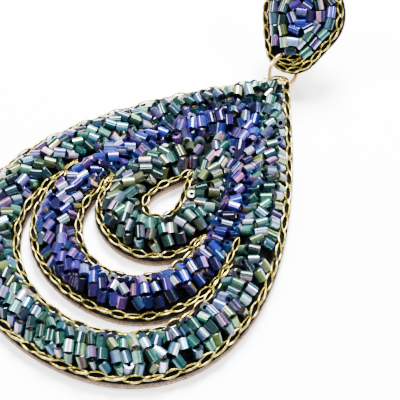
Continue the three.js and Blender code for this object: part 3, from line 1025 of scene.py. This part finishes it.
def stud_padding():
    """Dark dome under the stud's beads, its rim a smaller copy of the pad's outline."""
    rings = 6
    sides = 48
    top = STUD_BEAD_HEIGHT - 1.6
    rim = stud_outline(2.1, sides)
    points = [(0, 0, STUD_THICKNESS + 0.03), (0, 0, STUD_THICKNESS + top)]
    for r in range(1, rings + 1):
        phi = math.pi / 2 * r / rings
        lift = STUD_THICKNESS + 0.03 + (top - 0.03) * math.cos(phi)
        for x, y in rim * math.sin(phi):
            points.append((x, y, lift))
    faces = []
    for k in range(sides):
        m = (k + 1) % sides
        faces.append((1, 2 + k, 2 + m))
        for r in range(rings - 1):
            a, b = 2 + r * sides, 2 + (r + 1) * sides
            faces.append((a + k, b + k, b + m, a + m))
        last = 2 + (rings - 1) * sides
        faces.append((0, last + m, last + k))
    return mesh_object("stud_padding", on_stud(points), faces, PADDING, smooth=True)


def build_ring():
    """The jump ring: a round wire, cut once, its ends almost meeting."""
    sides = 12
    segments = 96
    gap = math.radians(3)
    points = []
    faces = []
    for i in range(segments + 1):
        angle = 2.2 + gap / 2 + (2 * math.pi - gap) * i / segments
        out = ring_side * math.cos(angle) + ring_up * math.sin(angle)
        for k in range(sides):
            roll = 2 * math.pi * k / sides
            shrink = 0.9 if i in (0, segments) else 1.0
            away = out * math.cos(roll) + ring_normal * math.sin(roll)
            centre = RING_CENTRE + out * RING_RADIUS
            points.append(centre + away * RING_WIRE / 2 * shrink)
    for i in range(segments):
        for k in range(sides):
            m = (k + 1) % sides
            faces.append((i * sides + k, (i + 1) * sides + k, (i + 1) * sides + m, i * sides + m))
    faces.append(tuple(range(sides)))
    faces.append(tuple(reversed(range(segments * sides, (segments + 1) * sides))))
    ring = mesh_object("jump_ring_wire", points, faces, RING_GOLD, smooth=True)
    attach(ring, "root")
    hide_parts("jump_ring")


def dress_nodes():
    """Better materials on the solids that stay."""
    finishes = {
        "drop_backing": SUEDE_TAN, "stud_backing": SUEDE_TAN,
        "drop_felt": FELT_BLACK, "stud_felt": FELT_BLACK, "ear_post": RING_GOLD,
    }
    for name, material in finishes.items():
        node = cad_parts[name]
        node = bpy.data.objects[node] if isinstance(node, str) else node
        for slot in node.material_slots:
            slot.material = material


# ---- Floor, lights and camera

CAMERA_TARGET = np.array([4.12, 5.6, 0.0])
CAMERA_AZIMUTH = 38.75
CAMERA_HEIGHT = 55.15
CAMERA_DISTANCE = 261.6
CAMERA_LENS = 126.0
CAMERA_SENSOR = 36.0
FLOOR_SIZE = 3.0
FLOOR_GLOW = 0.2
WORLD_STRENGTH = 0.52

# Lamps: name, azimuth and height in degrees, distance and size in metres, power in watts.
LIGHTS = [
    ("back_light", 212, 52, 0.7, 0.3, 72.0),
    ("left_light", -60, 45, 0.8, 0.15, 14.0),
    ("right_light", 120, 45, 0.8, 0.12, 10.0),
    ("front_light", 30, 70, 0.9, 0.15, 10.0),
]


def direction(azimuth, height):
    """Unit direction; azimuth from the front towards the right."""
    a, e = math.radians(azimuth), math.radians(height)
    return np.array([math.sin(a) * math.cos(e), -math.cos(a) * math.cos(e), math.sin(e)])


def aim(item, place, target):
    """Puts an object in place, looking at the target."""
    item.location = Vector(place)
    item.rotation_euler = (Vector(target) - Vector(place)).to_track_quat("-Z", "Y").to_euler()


def build_floor():
    """A plain pale floor with a faint glow of its own."""
    bpy.ops.object.select_all(action="DESELECT")
    bpy.ops.mesh.primitive_plane_add(size=FLOOR_SIZE, location=(0, 0, 0))
    floor = bpy.context.object
    floor.name = "floor"
    material, tree, shader = new_material("floor_white")
    tone = mottle(tree, (0.93, 0.93, 0.93), (0.95, 0.95, 0.95), 30, 3, 0.1, 0.0001)
    tree.links.new(tone.outputs["Color"], shader.inputs["Base Color"])
    shader.inputs["Roughness"].default_value = 0.9
    shader.inputs["Emission Color"].default_value = (1, 1, 1, 1)
    shader.inputs["Emission Strength"].default_value = FLOOR_GLOW
    floor.data.materials.append(material)


def build_lights(middle):
    """Four area lamps round the earring and a pale world."""
    for name, azimuth, height, distance, size, power in LIGHTS:
        lamp = bpy.data.lights.new(name, "AREA")
        lamp.size = size
        lamp.energy = power
        item = bpy.data.objects.new(name, lamp)
        bpy.context.scene.collection.objects.link(item)
        aim(item, middle + direction(azimuth, height) * distance, middle)
    world = bpy.data.worlds.new("studio")
    world.use_nodes = True
    background = world.node_tree.nodes["Background"]
    background.inputs["Color"].default_value = (1.0, 1.0, 1.0, 1)
    background.inputs["Strength"].default_value = WORLD_STRENGTH
    bpy.context.scene.world = world


def build_camera(middle):
    """The photograph's camera."""
    camera = bpy.data.cameras.new("camera")
    camera.lens = CAMERA_LENS
    camera.sensor_width = CAMERA_SENSOR
    camera.sensor_fit = "HORIZONTAL"
    camera.clip_start = 0.01
    item = bpy.data.objects.new("camera", camera)
    bpy.context.scene.collection.objects.link(item)
    aim(item, middle + direction(CAMERA_AZIMUTH, CAMERA_HEIGHT) * CAMERA_DISTANCE * MM, middle)
    bpy.context.scene.camera = item


stage_middle = (CAMERA_TARGET + SHIFT) * MM
build_floor()
build_lights(stage_middle)
build_camera(stage_middle)
dress_nodes()
build_fibres(*build_drop())
build_stud()
build_ring()
